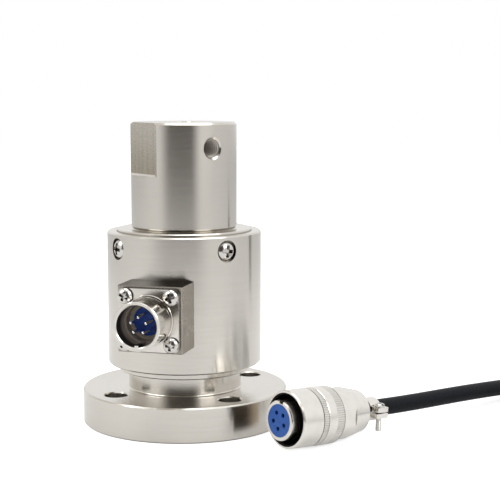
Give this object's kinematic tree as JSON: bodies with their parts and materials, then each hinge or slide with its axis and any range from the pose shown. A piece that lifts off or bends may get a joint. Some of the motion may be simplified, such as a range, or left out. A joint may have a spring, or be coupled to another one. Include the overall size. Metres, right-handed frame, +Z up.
{
  "type": "static torque sensor",
  "caption": "Flange-mounted static torque sensor with a flatted shaft end, a covered gauged waist, a side socket and its loose plug-in lead.",
  "frame": {"origin": "centre of the flange's lower face, on the measuring axis", "axes": "+Z up along the measuring axis towards the shaft end, -Y out of the side socket"},
  "size_m": [0.2611, 0.1432, 0.1142],
  "materials": {
    "plated_steel": "satin nickel plate over turned steel",
    "block_steel": "satin nickel plate over milled steel",
    "screw_steel": "bright plated",
    "connector_nickel": "bright nickel plate",
    "spring_steel": "drawn wire",
    "contact_silver": "silver plate",
    "contact_dark": "dull silver plate",
    "tin": "tinned strands",
    "blue_insulator": "moulded, slightly glossy",
    "black_rubber": "moulded rubber",
    "gasket_rubber": "grey sheet rubber",
    "gauge_foil": "amber film with foil grid",
    "board_green": "resist-coated board",
    "wire_red": "coloured insulation",
    "cable_jacket": "black, slightly satin"
  },
  "bodies": {
    "sensor": {"elastic_body": "plated_steel", "cover_sleeve": "plated_steel", "connector_block": "block_steel", "cover_screws": "screw_steel", "socket_screws": "screw_steel", "clamp_screws": "screw_steel", "lower_seal_ring": "black_rubber", "cable_grommet": "black_rubber", "socket_gasket": "gasket_rubber", "strain_gauges": "gauge_foil", "terminal_ring": "board_green", "signal_wires": "wire_red", "plug_wires": "wire_red", "tail_cores": "wire_red", "core_tips": "tin", "socket_shell": "connector_nickel", "plug_shell": "connector_nickel", "plug_backshell": "connector_nickel", "clamp_saddle": "connector_nickel", "coupling_spring": "spring_steel", "socket_insulator": "blue_insulator", "plug_insulator": "blue_insulator", "socket_pins": "contact_silver", "plug_contacts": "contact_dark", "cable": "cable_jacket", "cable_coil": "cable_jacket", "cable_tail": "cable_jacket"},
    "coupling": {"coupling_sleeve": "connector_nickel"}
  },
  "joints": [
    {"name": "coupling_slide", "type": "slide", "parent": "sensor", "child": "coupling", "axis": [0.5866, 0.8074, -0.0628], "range_m": [0, 0.0025], "stiffness_N_per_m": 1500, "springref_m": -0.001, "deforming": ["coupling_spring"]}
  ]
}
